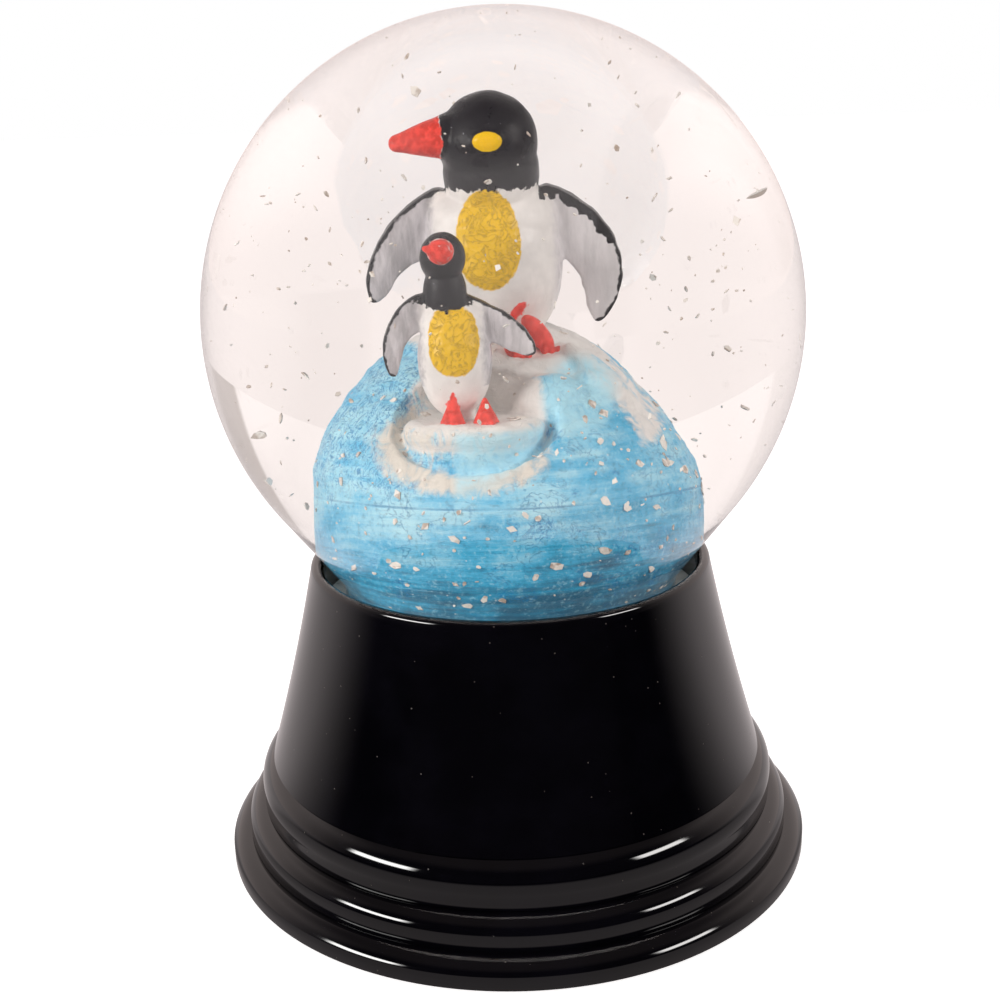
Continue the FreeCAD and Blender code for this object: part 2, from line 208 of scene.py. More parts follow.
def globe_outline(s, inset, count):
    """Outline of the ball, taper and neck from the top down, moved inwards by inset."""
    out, drop, neck = s.radius / MM, s.drop / MM, s.neck / MM
    mid = s.centre / MM
    tilt = math.asin(drop / out)
    radius = out - inset

    def on(cx, cz, r, angle):
        return (cx + r * math.cos(angle), cz + r * math.sin(angle))

    blend = 3.0
    corner = mid - drop - (out * math.cos(tilt) - neck) / math.tan(tilt)
    bx, bz = neck + blend, corner - blend * math.tan(tilt / 2)
    ball = arc_points((0, mid + radius), on(0, mid, radius, math.pi / 4 - tilt / 2), on(0, mid, radius, -tilt), count)
    bend = arc_points(on(bx, bz, blend + inset, math.pi - tilt), on(bx, bz, blend + inset, math.pi - tilt / 2),
                      on(bx, bz, blend + inset, math.pi), 6)
    (ax, az), (cx, cz) = ball[-1], bend[0]
    taper = [(ax + (cx - ax) * i / 12, az + (cz - az) * i / 12) for i in range(1, 12)]
    return chain(ball, taper, bend)


def lump(bm, centre, radii, turn=(0, 0, 0)):
    """Adds a rounded lump, stretched and turned."""
    place = Matrix.LocRotScale(Vector(centre), Euler([math.radians(a) for a in turn]), Vector(radii))
    bmesh.ops.create_icosphere(bm, subdivisions=4, radius=1.0, matrix=place)


def spike(bm, start, stop, thick, thin):
    """Adds a tapered peg between two points."""
    a, b = Vector(start), Vector(stop)
    place = Matrix.LocRotScale((a + b) / 2, (b - a).to_track_quat("Z", "Y"), None)
    bmesh.ops.create_cone(bm, cap_ends=True, segments=24, radius1=thick, radius2=thin, depth=(b - a).length,
                          matrix=place)


def wing(bm, outline, back, thickness, lean, ragged):
    """Adds a flat flipper from its (x, height) outline; lean brings its tip forwards, ragged roughens its edge."""
    points = softened(outline)
    verts = []
    for x, z in points:
        rough = ragged * noise.noise(Vector((x * 2.1, z * 2.1, 4.2)))
        verts.append(bm.verts.new((x + rough, back, z + rough)))
    sheet = bm.faces.new(verts)
    grown = bmesh.ops.extrude_face_region(bm, geom=[sheet])["geom"]
    moved = [g for g in grown if isinstance(g, bmesh.types.BMVert)]
    bmesh.ops.translate(bm, verts=moved, vec=(0, thickness, 0))
    root = Vector((points[0][0], 0, points[0][1]))
    for v in verts + moved:
        away = (Vector((v.co.x, 0, v.co.z)) - root).length
        v.co.y += lean * away * away
    bmesh.ops.recalc_face_normals(bm, faces=[f for f in bm.faces if f.is_valid])


def as_object(bm, name):
    """Object of a bmesh in millimetres, not yet linked to the scene's pieces."""
    mesh = bpy.data.meshes.new(name)
    bm.to_mesh(mesh)
    bm.free()
    made = bpy.data.objects.new(name, mesh)
    bpy.context.scene.collection.objects.link(made)
    return made


def cast(obj, voxel=None, smooth=0, cutters=()):
    """Applies cutters, melts the shape to one even skin and smooths it."""
    for cutter in cutters:
        cut = obj.modifiers.new("cut", "BOOLEAN")
        cut.operation, cut.solver, cut.object = "DIFFERENCE", "EXACT", cutter
    if voxel:
        melt = obj.modifiers.new("melt", "REMESH")
        melt.mode, melt.voxel_size = "VOXEL", voxel
    if smooth:
        ease = obj.modifiers.new("ease", "SMOOTH")
        ease.factor, ease.iterations = 0.5, smooth
    old = obj.data
    solid = bpy.data.meshes.new_from_object(obj.evaluated_get(bpy.context.evaluated_depsgraph_get()))
    obj.modifiers.clear()
    obj.data = solid
    bpy.data.meshes.remove(old)
    for cutter in cutters:
        bpy.data.objects.remove(cutter)
    return obj


def points_of(obj):
    """Vertex places of a piece as an array."""
    co = np.empty(len(obj.data.vertices) * 3)
    obj.data.vertices.foreach_get("co", co)
    return co.reshape(-1, 3)


def normals_of(obj):
    """Vertex normals of a piece as an array."""
    out = np.empty(len(obj.data.vertices) * 3)
    obj.data.vertex_normals.foreach_get("vector", out)
    return out.reshape(-1, 3)


def move_points(obj, co):
    """Puts a piece's vertices in new places."""
    obj.data.vertices.foreach_set("co", co.ravel())
    obj.data.update()


def zone(obj, name, values):
    """Stores one number for each vertex, for the paint to read."""
    layer = obj.data.attributes.new(name, "FLOAT", "POINT")
    layer.data.foreach_set("value", np.asarray(values, np.float32))


def finish_piece(obj, material, slot, body, *nodes, sharp=None, rise=0.0):
    """Raises a piece, brings it from millimetres to metres, paints it and puts it on its body."""
    obj.data.transform(Matrix.Scale(MM, 4) @ Matrix.Translation((0, 0, rise)))
    obj.data.materials.clear()
    obj.data.materials.append(material)
    obj.data.shade_smooth()
    if sharp:
        obj.data.set_sharp_from_angle(angle=math.radians(sharp))
    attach(obj, body)
    if nodes:
        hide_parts(*nodes)
    return obj


def to_line(co, line):
    """Distance of each point, seen from the front, to a bent line of (x, height) points."""
    flat = co[:, [0, 2]]
    best = np.full(len(co), 1e9)
    for a, b in zip(line, line[1:]):
        a, b = np.array(a), np.array(b)
        t = np.clip(((flat - a) @ (b - a)) / ((b - a) @ (b - a)), 0, 1)
        best = np.minimum(best, np.linalg.norm(flat - (a + t[:, None] * (b - a)), axis=1))
    return best


def ripple(co, scale, seed=0.0):
    """Smooth noise from -1 to 1 at each point."""
    return np.array([noise.noise(Vector((x * scale + seed, y * scale, z * scale))) for x, y, z in co])


# ---------------------------------------------------------------- finishes

class Finish:
    """Small helper that builds one node material."""

    def __init__(self, name, tree=None):
        if tree is None:
            self.material = bpy.data.materials.new(name)
            self.material.use_nodes = True
            tree = self.material.node_tree
        self.tree = tree
        tree.nodes.clear()

    def node(self, kind, inputs=(), **settings):
        made = self.tree.nodes.new(kind)
        for key, value in settings.items():
            setattr(made, key, value)
        for key, value in dict(inputs).items():
            if isinstance(value, bpy.types.NodeSocket):
                self.tree.links.new(value, made.inputs[key])
            else:
                made.inputs[key].default_value = value
        return made

    def millimetres(self, scale=(1, 1, 1), turn=(0, 0, 0), shift=(0, 0, 0)):
        """Object coordinates in millimetres, stretched and turned."""
        where = self.node("ShaderNodeTexCoord")
        size = [1000 * s for s in scale]
        spun = [math.radians(t) for t in turn]
        return self.node("ShaderNodeMapping", {"Vector": where.outputs["Object"], "Scale": size,
                                               "Rotation": spun, "Location": shift}).outputs["Vector"]

    def noise(self, where, scale, detail=3.0, rough=0.5, distortion=0.0):
        return self.node("ShaderNodeTexNoise", {"Vector": where, "Scale": scale, "Detail": detail,
                                                "Roughness": rough, "Distortion": distortion}).outputs["Fac"]

    def cells(self, where, scale, output="Distance", **settings):
        return self.node("ShaderNodeTexVoronoi", {"Vector": where, "Scale": scale}, **settings).outputs[output]

    def zone(self, name):
        return self.node("ShaderNodeAttribute", attribute_name=name).outputs["Fac"]

    def math(self, operation, a, b=0.0, clamp=False):
        return self.node("ShaderNodeMath", {0: a, 1: b}, operation=operation, use_clamp=clamp).outputs[0]

    def times(self, a, b):
        return self.math("MULTIPLY", a, b)

    def plus(self, a, b, clamp=False):
        return self.math("ADD", a, b, clamp)

    def minus(self, a, b, clamp=False):
        return self.math("SUBTRACT", a, b, clamp)

    def off_half(self, value):
        """How far a value is from one half."""
        return self.math("ABSOLUTE", self.minus(value, 0.5))

    def axis(self, where, letter):
        return self.node("ShaderNodeSeparateXYZ", {0: where}).outputs[letter]

    def step(self, value, low, high, to_low=0.0, to_high=1.0):
        """Smooth change from to_low to to_high as value goes from low to high."""
        return self.node("ShaderNodeMapRange", {"Value": value, "From Min": low, "From Max": high,
                                                "To Min": to_low, "To Max": to_high},
                         interpolation_type="SMOOTHSTEP").outputs["Result"]

    def mix(self, factor, a, b, blend="MIX"):
        made = self.tree.nodes.new("ShaderNodeMix")
        made.data_type, made.blend_type = "RGBA", blend
        for index, value in ((0, factor), (6, a), (7, b)):
            if isinstance(value, bpy.types.NodeSocket):
                self.tree.links.new(value, made.inputs[index])
            elif index == 0:
                made.inputs[index].default_value = value
            else:
                made.inputs[index].default_value = (*value[:3], 1.0)
        return made.outputs[2]

    def bump(self, height, distance, strength=1.0, under=None):
        inputs = {"Height": height, "Distance": distance * MM, "Strength": strength}
        if under is not None:
            inputs["Normal"] = under
        return self.node("ShaderNodeBump", inputs).outputs["Normal"]

    def shader(self, colour, roughness, normal=None, **constants):
        inputs = {"Base Color": colour if isinstance(colour, bpy.types.NodeSocket) else (*colour[:3], 1.0),
                  "Roughness": roughness}
        inputs.update({key.replace("_", " "): value for key, value in constants.items()})
        if normal is not None:
            inputs["Normal"] = normal
        return self.node("ShaderNodeBsdfPrincipled", inputs).outputs[0]

    def end(self, surface):
        end = self.node("ShaderNodeOutputMaterial", {"Surface": surface})
        end.is_active_output = True
        return self.material


def shade(colour, by, most=math.inf):
    """A colour made darker or lighter, held under most where that is given."""
    return [min(most, c * by) for c in colour]


def lacquer(s):
    """Deep gloss black with dust, hairline scratches and a slight orange peel."""
    f = Finish("gloss_black_lacquer")
    at = f.millimetres()
    dust = f.math("LESS_THAN", f.cells(at, 1.1), 0.060)
    grains = f.times(dust, f.math("GREATER_THAN", f.noise(at, 0.35, 2.0), 0.50))
    scratch = f.noise(f.millimetres((0.25, 0.25, 9.0), (12, 20, 0)), 1.3, 5.0, 0.7)
    lines = f.step(scratch, 0.66, 0.70)
    cloud = f.noise(at, 0.16, 4.0, 0.6)
    colour = f.mix(f.step(cloud, 0.35, 0.75), s.lacquer, shade(s.lacquer, 2.2))
    colour = f.mix(f.times(grains, 0.35), colour, (0.16, 0.13, 0.11))
    rough = f.step(cloud, 0.3, 0.8, 0.045, 0.10)
    rough = f.plus(rough, f.times(lines, 0.05))
    rough = f.plus(rough, f.times(grains, 0.35))
    peel = f.bump(f.noise(at, 0.45, 2.0, 0.4), 0.010, 0.35)
    speck = f.bump(grains, 0.02, 0.5, peel)
    return f.end(f.shader(colour, rough, speck, Specular_IOR_Level=0.5))


def see_through(name, ior, tint, wave, shadow):
    """Clear glass or water that lets soft light straight through to what is inside."""
    f = Finish(name)
    at = f.millimetres()
    swell = f.bump(f.noise(at, 0.09, 2.0, 0.4), wave, 0.5)
    clean = f.step(f.noise(at, 0.5, 4.0, 0.6), 0.58, 0.80, 0.0, 0.012)
    clear = f.shader(tint, clean, swell, Transmission_Weight=1.0, IOR=ior)
    passed = f.node("ShaderNodeBsdfTransparent", {"Color": (*shadow, 1.0)}).outputs[0]
    kind = f.node("ShaderNodeLightPath")
    through = f.math("MAXIMUM", kind.outputs["Is Shadow Ray"], kind.outputs["Is Diffuse Ray"])
    return f.end(f.node("ShaderNodeMixShader", {0: through, 1: clear, 2: passed}).outputs[0])


def ice_paint(s):
    """Blue washes brushed over white, with scribbled darker lines; painted shade makes the blue darker towards the
    drum's foot and paints the hollow cream, and painted light makes the left side lighter.
    """
    f = Finish("brushed_ice_paint")
    at = f.millimetres()
    height = f.axis(at, "Z")
    side = f.axis(at, "X")
    long_strokes = f.noise(f.millimetres((0.16, 0.16, 1.7), (0, 6, 0)), 1.0, 6.0, 0.62, 0.15)
    short = f.noise(f.millimetres((1.0, 0.8, 0.7), (0, 35, 20)), 1.1, 5.0, 0.6, 1.4)
    blot = f.noise(at, 0.30, 3.0, 0.55)
    # Painted shade and painted light: the blue is darker towards the drum's foot and lighter on the left side.
    tone = f.plus(f.step(height, 24.0, 33.5, -0.42, 0.10), f.step(side, -9.0, 9.0, 0.14, -0.04))
    tone = f.plus(tone, f.times(f.minus(long_strokes, 0.5), 1.0))
    tone = f.plus(tone, f.times(f.minus(blot, 0.5), 0.9))
    tone = f.plus(tone, 0.50, clamp=True)
    wash = f.mix(f.step(tone, 0.0, 0.5), s.deep, s.blue)
    wash = f.mix(f.step(tone, 0.35, 0.95), wash, s.pale)
    scribble = f.off_half(f.noise(at, 0.62, 3.0, 0.6, 0.9))
    marks = f.times(f.step(scribble, 0.004, 0.020, 1.0, 0.0), f.step(blot, 0.42, 0.60))
    wash = f.mix(f.times(marks, 0.55), wash, (0.04, 0.27, 0.55))
    tangle = f.off_half(f.noise(at, 1.5, 2.0, 0.5, 1.6))
    shoulder = f.times(f.step(side, -1.0, -5.0), f.step(height, 33.2, 34.6))
    shoulder = f.math("MAXIMUM", shoulder, f.step(f.noise(at, 0.42, 1.0), 0.60, 0.66))
    apart = f.node("ShaderNodeVectorMath", {0: at, 1: (1.9, -10.6, 31.6)}, operation="DISTANCE").outputs["Value"]
    shoulder = f.math("MAXIMUM", shoulder, f.step(apart, 1.25, 0.7))
    tangle = f.times(f.step(tangle, 0.010, 0.045, 1.0, 0.0), shoulder)
    wash = f.mix(f.times(tangle, 0.75), wash, (0.01, 0.24, 0.56))
    mottle = f.noise(at, 2.6, 4.0, 0.7)
    wash = f.mix(f.step(mottle, 0.52, 0.70, 0.0, 0.45), wash, s.pale)
    wash = f.mix(f.step(mottle, 0.48, 0.32, 0.0, 0.35), wash, s.deep)
    seam = f.step(f.math("ABSOLUTE", f.minus(height, 33.0)), 0.03, 0.11, 0.6, 0.0)
    wash = f.mix(f.times(seam, f.step(blot, 0.35, 0.55)), wash, (0.05, 0.25, 0.48))
    dots = f.math("LESS_THAN", f.cells(at, 0.9), 0.07)
    wash = f.mix(f.times(dots, 0.5), wash, (0.80, 0.86, 0.90))
    edge = f.times(f.minus(short, 0.5), 1.6)
    white = f.step(f.plus(f.zone("white_paint"), edge), -0.25, 0.35)
    cream = f.step(f.plus(f.zone("cream_shade"), edge), -0.35, 0.45)
    snow = f.mix(f.step(short, 0.35, 0.7), shade(s.white, 0.90), s.white)
    # Painted shade: the hollow under the slab is painted cream, darker in patches.
    hollow_shade = f.mix(f.step(short, 0.3, 0.7), shade(s.cream, 0.80), s.cream)
    colour = f.mix(white, wash, snow)
    colour = f.mix(cream, colour, hollow_shade)
    brushed = f.mix(f.step(f.zone("brushed_paint"), -0.3, 0.6), (0, 0, 0), (1, 1, 1))
    colour = f.mix(f.times(brushed, f.step(short, 0.25, 0.75, 0.45, 1.0)), colour, s.pale)
    bristle = f.noise(f.millimetres((0.6, 0.6, 6.0), (0, 10, 0)), 1.0, 4.0, 0.6)
    relief = f.bump(f.plus(bristle, f.times(marks, -0.6)), 0.10, 0.55)
    relief = f.bump(short, 0.12, 0.4, relief)
    rough = f.step(long_strokes, 0.3, 0.7, 0.34, 0.52)
    return f.end(f.shader(colour, rough, relief, Specular_IOR_Level=0.18))


def penguin_paint(s):
    """Hand-brushed enamel: white, black, grey, yellow and red fields with ragged edges."""
    f = Finish("penguin_enamel")
    at = f.millimetres()
    ragged = f.minus(f.noise(at, 2.4, 4.0, 0.65), 0.5)
    fine = f.minus(f.noise(at, 5.5, 3.0, 0.6), 0.5)
    soft = f.noise(at, 0.5, 4.0, 0.6)

    def field(name, waver, blur=0.05):
        wavy = f.plus(f.zone(name), f.times(ragged, waver))
        return f.step(wavy, -blur, blur)

    colour = f.mix(f.step(soft, 0.35, 0.7), shade(s.white, 0.86), s.white)
    streak = f.noise(f.millimetres((1.6, 1.6, 0.4), (0, 20, 0)), 1.0, 5.0, 0.65)
    grey = f.mix(f.step(streak, 0.3, 0.72), shade(s.grey, 0.80), shade(s.grey, 1.45, most=1))
    grey = f.mix(f.step(f.axis(at, "X"), -1.0, 4.0, 0.0, 0.55), grey, (0.86, 0.82, 0.83))
    colour = f.mix(field("grey_paint", 0.8, 0.30), colour, grey)
    scribble = f.off_half(f.noise(at, 1.0, 3.0, 0.6, 2.2))
    dry = f.step(scribble, 0.008, 0.030, 1.0, 0.0)
    yellow = f.mix(f.step(soft, 0.3, 0.7), shade(s.yellow, 0.86), s.yellow)
    yellow = f.mix(f.times(dry, 0.70), yellow, s.ochre)
    colour = f.mix(field("bib_paint", 0.35), colour, yellow)
    black = f.mix(f.step(fine, 0.10, 0.35), s.black, (0.04, 0.036, 0.04))
    glint = f.math("GREATER_THAN", f.noise(at, 3.2, 2.0, 0.5), 0.74)
    black = f.mix(f.times(glint, 0.4), black, (0.45, 0.45, 0.5))
    colour = f.mix(field("black_paint", 0.22), colour, black)
    red = f.mix(f.step(ragged, -0.12, 0.15), shade(s.red, 0.80), [min(1, c * 1.12 + 0.02) for c in s.red])
    colour = f.mix(field("red_paint", 0.55), colour, red)
    pupil = f.mix(f.step(f.zone("eye_paint"), 0.20, 0.36), s.yellow, shade(s.ochre, 1.9))
    colour = f.mix(field("eye_paint", 0.10, 0.03), colour, pupil)
    relief = f.bump(f.noise(f.millimetres((2.0, 2.0, 0.9), (0, 15, 0)), 1.6, 4.0, 0.6), 0.05, 0.5)
    relief = f.bump(f.times(dry, f.step(f.zone("bib_paint"), 0.0, 0.1)), 0.07, 0.7, relief)
    rough = f.step(soft, 0.3, 0.7, 0.24, 0.42)
    return f.end(f.shader(colour, rough, relief, Specular_IOR_Level=0.22, Coat_Weight=0.03))


def snow_chips(s, name):
    """Thin chips of pearly plastic, from cream to tan."""
    f = Finish(name)
    at = f.millimetres()
    tone = f.node("ShaderNodeSeparateColor", {0: f.cells(at, 0.85, "Color")}).outputs["Red"]
    colour = f.mix(f.step(tone, 0.25, 0.75), s.tan, s.snow)
    colour = f.mix(f.step(f.noise(at, 3.0, 3.0), 0.4, 0.7), colour, shade(s.snow, 1.1, most=1))
    ruck = f.bump(f.noise(at, 4.0, 3.0), 0.03, 0.5)
    return f.end(f.shader(colour, f.step(tone, 0, 1, 0.25, 0.5), ruck, Specular_IOR_Level=0.5))


def felt(s):
    """Short matted pile."""
    f = Finish("black_felt")
    at = f.millimetres()
    fibre = f.noise(at, 6.0, 6.0, 0.7, 2.0)
    patch = f.noise(at, 0.25, 3.0)
    colour = f.mix(f.step(fibre, 0.35, 0.65), shade(s.felt, 0.6), shade(s.felt, 1.7))
    colour = f.mix(f.step(patch, 0.5, 0.75, 0.0, 0.35), colour, (0.06, 0.06, 0.065))
    pile = f.bump(fibre, 0.12, 0.8)
    return f.end(f.shader(colour, f.step(patch, 0.3, 0.7, 0.85, 0.98), pile, Sheen_Weight=0.3,
                          Sheen_Roughness=0.5, Specular_IOR_Level=0.15))


def card(s):
    """Grey pressed board with flecks and rubbed edges."""
    f = Finish("cover_card")
    at = f.millimetres()
    fleck = f.noise(at, 2.2, 5.0, 0.7)
    rub = f.noise(at, 0.3, 3.0)
    colour = f.mix(f.step(fleck, 0.35, 0.7), s.card, shade(s.card, 1.5))
    colour = f.mix(f.step(rub, 0.5, 0.75, 0.0, 0.4), colour, (0.46, 0.42, 0.36))
    return f.end(f.shader(colour, f.step(rub, 0.3, 0.7, 0.72, 0.9), f.bump(fleck, 0.05, 0.5)))


def plaster():
    """Poured plaster with pits and a chalky bloom; the pits are painted darker as painted shade."""
    f = Finish("poured_plaster")
    at = f.millimetres()
    cloud = f.noise(at, 0.35, 5.0, 0.6)
    pits = f.step(f.cells(at, 1.3), 0.08, 0.22)
    colour = f.mix(f.step(cloud, 0.35, 0.7), (0.52, 0.49, 0.44), (0.78, 0.76, 0.72))
    # Painted shade: the pits are coloured darker.
    colour = f.mix(pits, (0.35, 0.33, 0.30), colour)
    return f.end(f.shader(colour, f.step(cloud, 0.3, 0.7, 0.80, 0.95), f.bump(pits, 0.15, 0.6)))


def rubber(name, colour, gloss):
    """Moulded rubber with a dusty bloom and faint mould lines."""
    f = Finish(name)
    at = f.millimetres()
    bloom = f.noise(at, 0.6, 5.0, 0.65)
    lines = f.noise(f.millimetres((0.1, 0.1, 5.0)), 1.0, 2.0)
    skin = f.mix(f.step(bloom, 0.4, 0.75), colour, [c * 1.6 + 0.02 for c in colour])
    return f.end(f.shader(skin, f.step(bloom, 0.3, 0.7, gloss, gloss + 0.2), f.bump(lines, 0.03, 0.5)))


# ---------------------------------------------------------------- pieces

class SNOWGLOBE_OT_plinth(bpy.types.Operator):
    """Turn the gloss black plinth with its rim, bell and three foot rings"""
    bl_idname = "snowglobe.plinth"
    bl_label = "Plinth"

    def execute(self, context):
        s = context.scene.snowglobe_plinth
        rim_z, rim_r, bore = s.rim_height / MM, s.rim_radius / MM, s.bore / MM
        lip = 0.35
        outline = arc_points((bore, rim_z - lip / 2), (0.5 * (rim_r + bore), rim_z), (rim_r, rim_z - lip), 10)
        outline += arc_points((rim_r, rim_z - lip), BELL_MIDDLE, BELL_FOOT, 40)
        above = BELL_FOOT
        for ring_r, low in RINGS:
            crease = (above[0] - 0.2, above[1])
            shoulder = (ring_r, low + 1.1)
            mid = (crease[0] + 0.72 * (ring_r - crease[0]), shoulder[1] + 0.7 * (above[1] - shoulder[1]))
            round_top = arc_points(crease, mid, shoulder, 18)
            edge = arc_points((ring_r, low + 0.12), (ring_r - 0.035, low + 0.035), (ring_r - 0.12, low), 4)
            outline += [crease] + round_top + [(ring_r, low + 0.6)] + edge
            above = (ring_r - 0.12, low)
        outline += [(21.4, 0.4), (21.4, 1.9), (20.7, 1.9), (19.4, 4.8), (18.45, 8.4), (bore, rim_z - 3.3)]
        piece = as_object(turned(chain(outline), 288), "gloss_black_plinth")
        finish_piece(piece, lacquer(s), "plinth_black", "globe", "base_shell", sharp=32)
        return {"FINISHED"}


class SNOWGLOBE_OT_glass(bpy.types.Operator):
    """Blow the glass ball with its neck"""
    bl_idname = "snowglobe.glass"
    bl_label = "Glass globe"

    def execute(self, context):
        s = context.scene.snowglobe_glass
        end = s.neck_end / MM
        outer, inner = globe_outline(s, 0, 120), globe_outline(s, s.wall / MM, 120)
        lip = arc_points((outer[-1][0], end + 0.3), (0.5 * (outer[-1][0] + inner[-1][0]), end),
                         (inner[-1][0], end + 0.3), 8)
        bm = turned(chain(outer, lip, inner[::-1]), 192, closed=False)
        piece = as_object(bm, "blown_glass_globe")
        glass = see_through("clear_blown_glass", 1.5, (1.0, 0.995, 0.99), 0.02, (0.97, 0.965, 0.96))
        finish_piece(piece, glass, "clear_glass", "globe", "glass_globe")
        return {"FINISHED"}


class SNOWGLOBE_OT_water(bpy.types.Operator):
    """Fill the globe with water, which reaches just into the glass all round"""
    bl_idname = "snowglobe.water"
    bl_label = "Water"

    def execute(self, context):
        s = context.scene.snowglobe_glass
        side = globe_outline(s, s.wall / MM - 0.05, 120)
        low = s.floor / MM
        side = [p for p in side if p[1] > low + 0.3]
        foot = arc_points((side[-1][0], low + 0.25), (side[-1][0] - 0.07, low + 0.07), (side[-1][0] - 0.25, low), 4)
        bm = turned(chain(side, foot, [(0, low)]), 192, closed=False)
        piece = as_object(bm, "clear_water")
        water = see_through("still_water", 1.33, (1.0, 0.993, 0.985), 0.012, (0.99, 0.985, 0.98))
        finish_piece(piece, water, "water", "globe", "water_fill")
        return {"FINISHED"}


def add_ledge(bm, outline, stretch, place):
    """Adds a turned ledge, stretched and moved to its place."""
    ledge = turned(outline, 48, closed=False)
    bmesh.ops.scale(ledge, vec=stretch, verts=ledge.verts)
    bmesh.ops.translate(ledge, vec=place, verts=ledge.verts)
    mesh = bpy.data.meshes.new("ledge")
    ledge.to_mesh(mesh)
    ledge.free()
    bm.from_mesh(mesh)
    bpy.data.meshes.remove(mesh)


class SNOWGLOBE_OT_ice(bpy.types.Operator):
    """Cast the drum and the ice hill with its ledges, hollow and ridges, and brush them blue and white"""
    bl_idname = "snowglobe.ice"
    bl_label = "Ice hill and drum"

    def execute(self, context):
        s = context.scene.snowglobe_ice
        paint = ice_paint(s)
        side = chain([(0, 17.5), (3.0, 17.5), (3.0, 19.0), (10.6, 19.0)],
                     arc_points((10.6, 19.0), (10.88, 19.12), (11.0, 19.4), 4),
                     [(11.0, z) for z in np.linspace(19.8, 31.4, 40)],
                     arc_points((11.0, 31.86), (10.97, 31.94), (10.88, 31.98), 4), [(0, 31.98)])
        drum = as_object(turned(side, 220, closed=False), "ice_drum")
        co = points_of(drum)
        around = np.hypot(co[:, 0], co[:, 1])
        wall = (around > 10.5)
        co[:, :2] *= (1 + wall * 0.004 * ripple(co, 0.35))[:, None]
        move_points(drum, co)
        for name in ("white_paint", "cream_shade", "brushed_paint"):
            zone(drum, name, np.full(len(co), -2.0))
        finish_piece(drum, paint, "ice_paint", "globe", "scene_drum", sharp=45, rise=SCENE_RISE)

        bm = bmesh.new()
        rings = []
        for cx, cy, z, rx, ry in HILL_SECTIONS:
            made = bmesh.ops.create_circle(bm, segments=64, radius=1.0,
                                           matrix=Matrix.LocRotScale(Vector((cx, cy, z)), None, Vector((rx, ry, 1))))
            rings.append({e for v in made["verts"] for e in v.link_edges})
        for low, high in zip(rings, rings[1:]):
            bmesh.ops.bridge_loops(bm, edges=list(low | high))
        bmesh.ops.holes_fill(bm, edges=[e for e in bm.edges if e.is_boundary], sides=0)
        bmesh.ops.recalc_face_normals(bm, faces=bm.faces)
        hill = as_object(bm, "ice_hill_cast")
        scoops = []
        for centre, radii, turn in HILL_SCOOPS:
            ball = bmesh.new()
            lump(ball, centre, radii, turn)
            scoops.append(as_object(ball, "scoop"))
        cast(hill, 0.25, 0)
        cast(hill, None, 0, scoops)
        bm = bmesh.new()
        bm.from_mesh(hill.data)
        slab = chain([(0, 33.2), (3.3, 33.2)], [(3.35, 35.4)],
                     arc_points((3.55, 36.0), (3.4, 36.75), (2.7, 37.0), 6), [(0, 37.02)])
        step = chain([(0, 36.0), (4.3, 36.0), (4.2, 38.9)],
                     arc_points((4.1, 39.2), (3.9, 39.75), (3.2, 40.0), 6), [(0, 40.02)])
        add_ledge(bm, slab, (1.16, 1.0, 1), (-1.9, -6.2, 0))
        add_ledge(bm, step, (1.0, 0.95, 1), (1.2, 0.2, 0))
        lump(bm, (2.6, -4.2, 37.0), (2.3, 1.9, 2.3), (10, 30, 0))
        lump(bm, (4.6, -3.4, 36.6), (1.7, 1.6, 2.8), (-10, 20, 0))
        lump(bm, (5.9, -2.2, 38.0), (0.95, 1.1, 3.6), (0, -42, 0))
        lump(bm, (3.4, -1.4, 39.2), (1.3, 1.3, 1.3))
        bm.to_mesh(hill.data)
        bm.free()
        cast(hill, 0.17, 6)
        co = points_of(hill)
        up = np.clip((co[:, 2] - 32.0) / 1.5, 0, 1)
        rough = 0.16 * ripple(co, 0.55) + 0.07 * ripple(co, 1.5, 3.0) + 0.03 * ripple(co, 3.6, 9.0)
        co += normals_of(hill) * (rough * up)[:, None]
        reach = np.hypot(co[:, 0], co[:, 1])
        co[:, :2] *= np.minimum(1, 11.05 / np.maximum(reach, 1e-6))[:, None]
        move_points(hill, co)
        x, y, z = co.T
        slab_r = np.hypot((x + 1.9) / 1.14, y + 6.2)
        hollow_in = (1 - np.hypot((x + 2.7) / 5.1, (z - 35.3) / 2.35)) * 2.6
        top_r = np.hypot(x - 1.2, y - 0.2)
        on_slab = np.minimum(3.75 - slab_r, (z - 35.3) * 1.2)
        on_top = np.minimum(5.0 - top_r, (z - 36.9) * 0.8)
        ridge = 0.60 - to_line(co, WHITE_RIDGE) - np.clip(y - 2.0, 0, 9)
        snowcap = np.minimum(z - 39.0, 5.0 - np.hypot(x + 0.5, y - 2.4))
        zone(hill, "white_paint", np.clip(np.maximum.reduce([on_slab, on_top, ridge, snowcap]), -2, 2))
        # Where the cream painted shade lies, in the hollow round the slab.
        in_hollow = np.minimum.reduce([hollow_in, np.maximum(slab_r - 3.6, (34.1 - z) * 2), -4.0 - y])
        zone(hill, "cream_shade", np.clip(in_hollow, -2, 2))
        front = np.minimum.reduce([(36.65 - z) * 1.4, slab_r - 2.6, 4.4 - slab_r, x + 3.2, -6.6 - y])
        facet = np.minimum.reduce([1.9 - np.hypot((x - 4.3) / 1.2, (z - 38.0) * 0.9), -y - 1.0])
        zone(hill, "brushed_paint", np.clip(np.maximum(front, facet), -2, 2))
        finish_piece(hill, paint, "ice_paint", "globe", "ice_hill", rise=SCENE_RISE)
        return {"FINISHED"}


